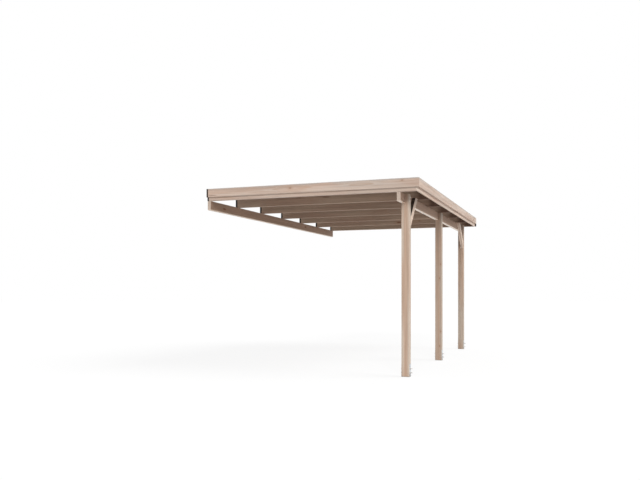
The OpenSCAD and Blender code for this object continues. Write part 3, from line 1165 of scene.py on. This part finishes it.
class CARPORT_OT_screws(bpy.types.Operator):
    """Put screws in the fascia boards and coach bolts in the post heads and braces"""

    bl_idname = "carport.screws"
    bl_label = "Add the screws"

    # First and last place of the screws along the front and rear board, from its ends
    ROW_SPAN = (0.1, 0.05)
    # Height of a board from which it has three rows of screws
    TALL_BOARD = 0.13
    # Distances of the coach bolts from a post's middle line and from the beam's edges
    ASIDE = 0.018
    POST_MARGIN = 0.032
    BRACE_MARGINS = (0.035, 0.03)
    # Domed head of a coach bolt
    DOME = ((-0.003, 0.006, 0), (0.0, 0.010, 0), (0.0008, 0.0102, 0), (0.0022, 0.0092, 0),
            (0.0036, 0.0072, 0), (0.0046, 0.0045, 0), (0.005, 0.0015, 0))

    def execute(self, context):
        self.fascia_screws(context.scene.carport_sizes)
        self.coach_bolts()
        return {"FINISHED"}

    def fascia_screws(self, sizes):
        """Countersunk heads with a round drive hole, in rows near both edges of each board."""
        r = sizes.screw_head / 2
        head = ((-0.003, 0.4 * r, 0), (0.0, r, 0), (0.0004, 0.94 * r, 0), (0.0006, 0.55 * r, 0),
                (0.0004, 0.46 * r, 0), (-0.0012, 0.4 * r, 0))
        grids = []
        start, stop = self.ROW_SPAN
        for node, out in (("front_fascia", -1), ("rear_fascia", 1)):
            low, high = corners(node)
            face = low[1] if out < 0 else high[1]
            along = np.arange(start, high[0] - stop, sizes.screw_pitch)
            places = [(x, face, z) for x in along for z in self.heights(low, high, sizes)]
            grids.append(turned(head, 14, (0, out, 0), places))
        low, high = corners("eave_fascia")
        along = [sum(corners(node))[1] / 2 for node in RAFTERS]
        places = [(high[0], y, z) for y in along for z in self.heights(low, high, sizes)]
        grids.append(turned(head, 14, (1, 0, 0), places))
        new_fixings("fascia_screws", np.concatenate(grids))

    def heights(self, low, high, sizes):
        """Heights of the rows of screws in a board."""
        count = 2 if high[2] - low[2] < self.TALL_BOARD else 3
        return np.linspace(low[2] + sizes.screw_margin, high[2] - sizes.screw_margin, count)

    def coach_bolts(self):
        """Domed heads on the outer faces of the post heads and where the braces lap the beam."""
        beam_low, beam_high = (corner[2] for corner in corners("eave_beam"))
        places = []
        for node in POSTS:
            low, high = corners(node)
            middle = (low[1] + high[1]) / 2
            places += [(high[0], middle - self.ASIDE, beam_low + self.POST_MARGIN),
                       (high[0], middle + self.ASIDE, beam_high - self.POST_MARGIN)]
        lower, upper = self.BRACE_MARGINS
        for node, way in BRACES.items():
            low, high = corners(node)
            foot = low[1] if way > 0 else high[1]
            for z in (beam_low + lower, beam_high - upper):
                along = (z - low[2]) - BRACE_WIDTH * math.sqrt(0.5)
                places.append((high[0], foot + way * along, z))
        new_fixings("coach_bolts", turned(self.DOME, 24, (1, 0, 0), places))


class CARPORT_OT_stage(bpy.types.Operator):
    """Set the camera, the light and the floor"""

    bl_idname = "carport.stage"
    bl_label = "Set the stage"

    WHITE = (1, 1, 1)
    # Corners of the round floor, and how far it lies under the post anchors
    FLOOR_CORNERS = 96
    FLOOR_DROP = 0.0005

    def execute(self, context):
        scene, stage = context.scene, context.scene.carport_stage
        scene.view_settings.view_transform = "Standard"
        self.camera(scene, stage)
        self.light(scene, "main_light", stage.key, stage.key_height, stage.key_side,
                   stage.key_spread)
        self.light(scene, "side_light", stage.fill, stage.fill_height, stage.fill_side,
                   stage.fill_spread)
        self.world(scene, stage)
        self.floor(scene, stage)
        return {"FINISHED"}

    def camera(self, scene, stage):
        """Level camera with the photograph's focal length, shifted so that its horizon fits."""
        data = bpy.data.cameras.new("camera")
        data.lens = data.sensor_width * FOCAL_PIXELS / IMAGE_WIDTH
        data.shift_y = (HORIZON_ROW - IMAGE_HEIGHT / 2) / IMAGE_WIDTH
        camera = bpy.data.objects.new("camera", data)
        camera.location = stage.camera_place
        camera.rotation_euler = (math.pi / 2, 0, stage.camera_turn)
        scene.collection.objects.link(camera)
        scene.camera = camera

    def light(self, scene, name, strength, height, side, spread):
        """Far soft light from a height over the floor and a side of the carport."""
        data = bpy.data.lights.new(name, "SUN")
        data.energy = strength
        data.angle = spread
        lamp = bpy.data.objects.new(name, data)
        lamp.rotation_euler = (math.pi / 2 - height, 0, side)
        scene.collection.objects.link(lamp)

    def seen(self, tree):
        """One for rays of the camera and those that mirror or pass through, zero for the rest."""
        path = tree.node("ShaderNodeLightPath").outputs
        mirrored = tree.math("MAXIMUM", path["Is Glossy Ray"], path["Is Transmission Ray"])
        return tree.math("MAXIMUM", path["Is Camera Ray"], mirrored)

    def world(self, scene, stage):
        """Even light from all round, which the camera sees as plain white."""
        world = bpy.data.worlds.new("studio")
        tree = empty_tree(world)
        sky = tree.node("ShaderNodeBackground", {"Color": self.WHITE, "Strength": stage.sky})
        white = tree.node("ShaderNodeBackground", {"Color": self.WHITE, "Strength": 1.0})
        given = {0: self.seen(tree), 1: sky.outputs[0], 2: white.outputs[0]}
        mixed = tree.node("ShaderNodeMixShader", given)
        tree.node("ShaderNodeOutputWorld", {"Surface": mixed.outputs[0]})
        scene.world = world

    def floor_material(self, stage):
        """Matt floor with a plain white that only the camera sees, clear from below."""
        material = bpy.data.materials.new("floor")
        tree = empty_tree(material)
        seen = self.seen(tree)
        colour = tree.mix(seen, tuple(stage.floor), tuple(stage.floor_shown))
        matt = tree.node("ShaderNodeBsdfDiffuse", {"Color": colour})
        glow = tree.times(seen, stage.floor_glow)
        white = tree.node("ShaderNodeEmission", {"Color": self.WHITE, "Strength": glow})
        pale = tree.node("ShaderNodeAddShader", {0: matt.outputs[0], 1: white.outputs[0]})
        clear = tree.node("ShaderNodeBsdfTransparent")
        below = tree.node("ShaderNodeNewGeometry").outputs["Backfacing"]
        given = {0: below, 1: pale.outputs[0], 2: clear.outputs[0]}
        sided = tree.node("ShaderNodeMixShader", given)
        tree.node("ShaderNodeOutputMaterial", {"Surface": sided.outputs[0]})
        return material

    def floor(self, scene, stage):
        """Round floor under the post anchors: radius * (cos a, sin a) from the carport's middle."""
        angle = np.arange(self.FLOOR_CORNERS) * 2 * np.pi / self.FLOOR_CORNERS
        edge = np.column_stack((np.cos(angle), np.sin(angle), np.zeros_like(angle)))
        middle = (CAD_BOX[0] + CAD_BOX[1]) / 2
        edge = edge * stage.floor_radius + (middle.x, middle.y, GROUND - self.FLOOR_DROP)
        mesh = bpy.data.meshes.new("floor")
        mesh.from_pydata(edge.tolist(), [], [list(range(self.FLOOR_CORNERS))])
        mesh.materials.append(self.floor_material(stage))
        floor = bpy.data.objects.new("floor", mesh)
        scene.collection.objects.link(floor)


STEPS = (
    CARPORT_OT_timbers,
    CARPORT_OT_fascias,
    CARPORT_OT_anchors,
    CARPORT_OT_deck,
    CARPORT_OT_felt,
    CARPORT_OT_bolts,
    CARPORT_OT_screws,
    CARPORT_OT_stage,
)

SETTINGS = {
    "carport_sizes": CarportSizes,
    "carport_colours": CarportColours,
    "carport_stage": CarportStage,
}


class CARPORT_PT_panel(bpy.types.Panel):
    """Steps and settings of the carport's finish"""

    bl_idname = "CARPORT_PT_panel"
    bl_label = "Carport"
    bl_space_type = "VIEW_3D"
    bl_region_type = "UI"
    bl_category = "Carport"

    def draw(self, context):
        for step in STEPS:
            self.layout.operator(step.bl_idname)
        for settings in (getattr(context.scene, name) for name in SETTINGS):
            box = self.layout.box()
            for name in settings.bl_rna.properties.keys():
                if name not in ("rna_type", "name"):
                    box.prop(settings, name)


def register():
    for kind in (*SETTINGS.values(), *STEPS, CARPORT_PT_panel):
        bpy.utils.register_class(kind)
    for name, kind in SETTINGS.items():
        setattr(bpy.types.Scene, name, PointerProperty(type=kind))


def unregister():
    for name in SETTINGS:
        delattr(bpy.types.Scene, name)
    for kind in (CARPORT_PT_panel, *reversed(STEPS), *reversed(SETTINGS.values())):
        bpy.utils.unregister_class(kind)


def main():
    """Registers the add-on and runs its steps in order."""
    register()
    add_groups()
    for step in STEPS:
        space, name = step.bl_idname.split(".")
        getattr(getattr(bpy.ops, space), name)()


if __name__ == "__main__":
    main()
